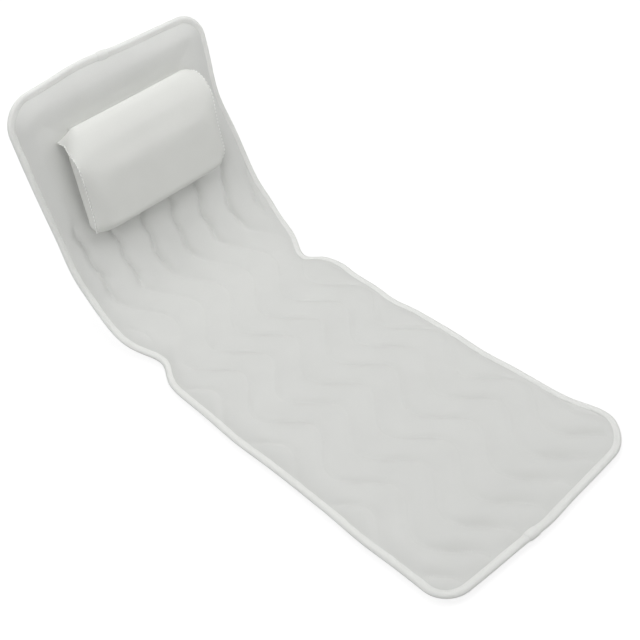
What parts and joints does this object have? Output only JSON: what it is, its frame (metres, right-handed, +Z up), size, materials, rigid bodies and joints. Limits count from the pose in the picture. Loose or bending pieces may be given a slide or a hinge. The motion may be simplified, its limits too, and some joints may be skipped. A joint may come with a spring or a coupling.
{
  "type": "bath pillow",
  "caption": "Full-length quilted bath pillow: a padded tub mat on suction cups that bends up at its waist notches, with a bolster hung on the head end.",
  "frame": {"origin": "on the floor, under the middle of the part's box in its shown pose", "axes": "+Z up, +Y from the foot edge to the head edge, +X to the right seen from the foot"},
  "size_m": [0.4, 0.94, 0.4417],
  "materials": {
    "quilted_cloth": "matt white mesh cloth",
    "pillow_cloth": "matt white knit",
    "binding": "matt ribbed tape",
    "filling": "loose polyester fibre",
    "backing": "plain woven cloth",
    "webbing": "woven tape",
    "cup": "clear soft vinyl"
  },
  "bodies": {
    "seat": {"seat_cover": "quilted_cloth", "seat_wadding": "filling", "seat_backing": "backing", "seat_cup_tape_1": "webbing", "seat_suction_cup_1": "cup", "seat_suction_cup_2": "cup", "seat_suction_cup_3": "cup", "seat_cup_tape_2": "webbing", "seat_suction_cup_4": "cup", "seat_suction_cup_5": "cup", "seat_suction_cup_6": "cup", "seat_binding_left": "binding", "seat_binding_right": "binding"},
    "leg": {"leg_cover": "quilted_cloth", "leg_wadding": "filling", "leg_backing": "backing", "leg_cup_tape_1": "webbing", "leg_suction_cup_1": "cup", "leg_suction_cup_2": "cup", "leg_suction_cup_3": "cup", "leg_cup_tape_2": "webbing", "leg_suction_cup_4": "cup", "leg_suction_cup_5": "cup", "leg_suction_cup_6": "cup", "leg_binding": "binding", "foot_binding_join": "binding"},
    "lower_back": {"lower_back_cover": "quilted_cloth", "lower_back_wadding": "filling", "lower_back_backing": "backing", "lower_back_cup_tape_1": "webbing", "lower_back_suction_cup_1": "cup", "lower_back_suction_cup_2": "cup", "lower_back_binding_left": "binding", "lower_back_binding_right": "binding"},
    "upper_back": {"upper_back_cover": "quilted_cloth", "upper_back_wadding": "filling", "upper_back_backing": "backing", "upper_back_cup_tape_1": "webbing", "upper_back_suction_cup_1": "cup", "upper_back_suction_cup_2": "cup", "upper_back_binding_left": "binding", "upper_back_binding_right": "binding"},
    "head": {"head_cover": "quilted_cloth", "head_wadding": "filling", "head_backing": "backing", "head_cup_tape_1": "webbing", "head_suction_cup_1": "cup", "head_suction_cup_2": "cup", "head_binding": "binding", "head_binding_join": "binding", "pillow_seam_tape": "webbing"},
    "pillow": {"pillow_cover": "pillow_cloth", "pillow_gusset_left": "pillow_cloth", "pillow_gusset_right": "pillow_cloth", "pillow_back": "pillow_cloth", "pillow_fill": "filling"}
  },
  "joints": [
    {"name": "leg_fold", "type": "hinge", "parent": "seat", "child": "leg", "pos_m": [0, -0.12784, 0.0241], "axis": [-1, 0, 0], "range_deg": [0, 90]},
    {"name": "waist_fold", "type": "hinge", "parent": "seat", "child": "lower_back", "pos_m": [0, 0.23077, 0.02591], "axis": [1, 0, 0], "range_deg": [-12, 25]},
    {"name": "back_fold", "type": "hinge", "parent": "lower_back", "child": "upper_back", "pos_m": [0, 0.33656, 0.06946], "axis": [1, 0, 0], "range_deg": [-30, 20]},
    {"name": "neck_fold", "type": "hinge", "parent": "upper_back", "child": "head", "pos_m": [0, 0.39128, 0.15617], "axis": [1, 0, 0], "range_deg": [-25, 15]},
    {"name": "pillow_flap", "type": "hinge", "parent": "head", "child": "pillow", "pos_m": [0, 0.44052, 0.34581], "axis": [-1, 0, 0], "range_deg": [0, 40]}
  ]
}
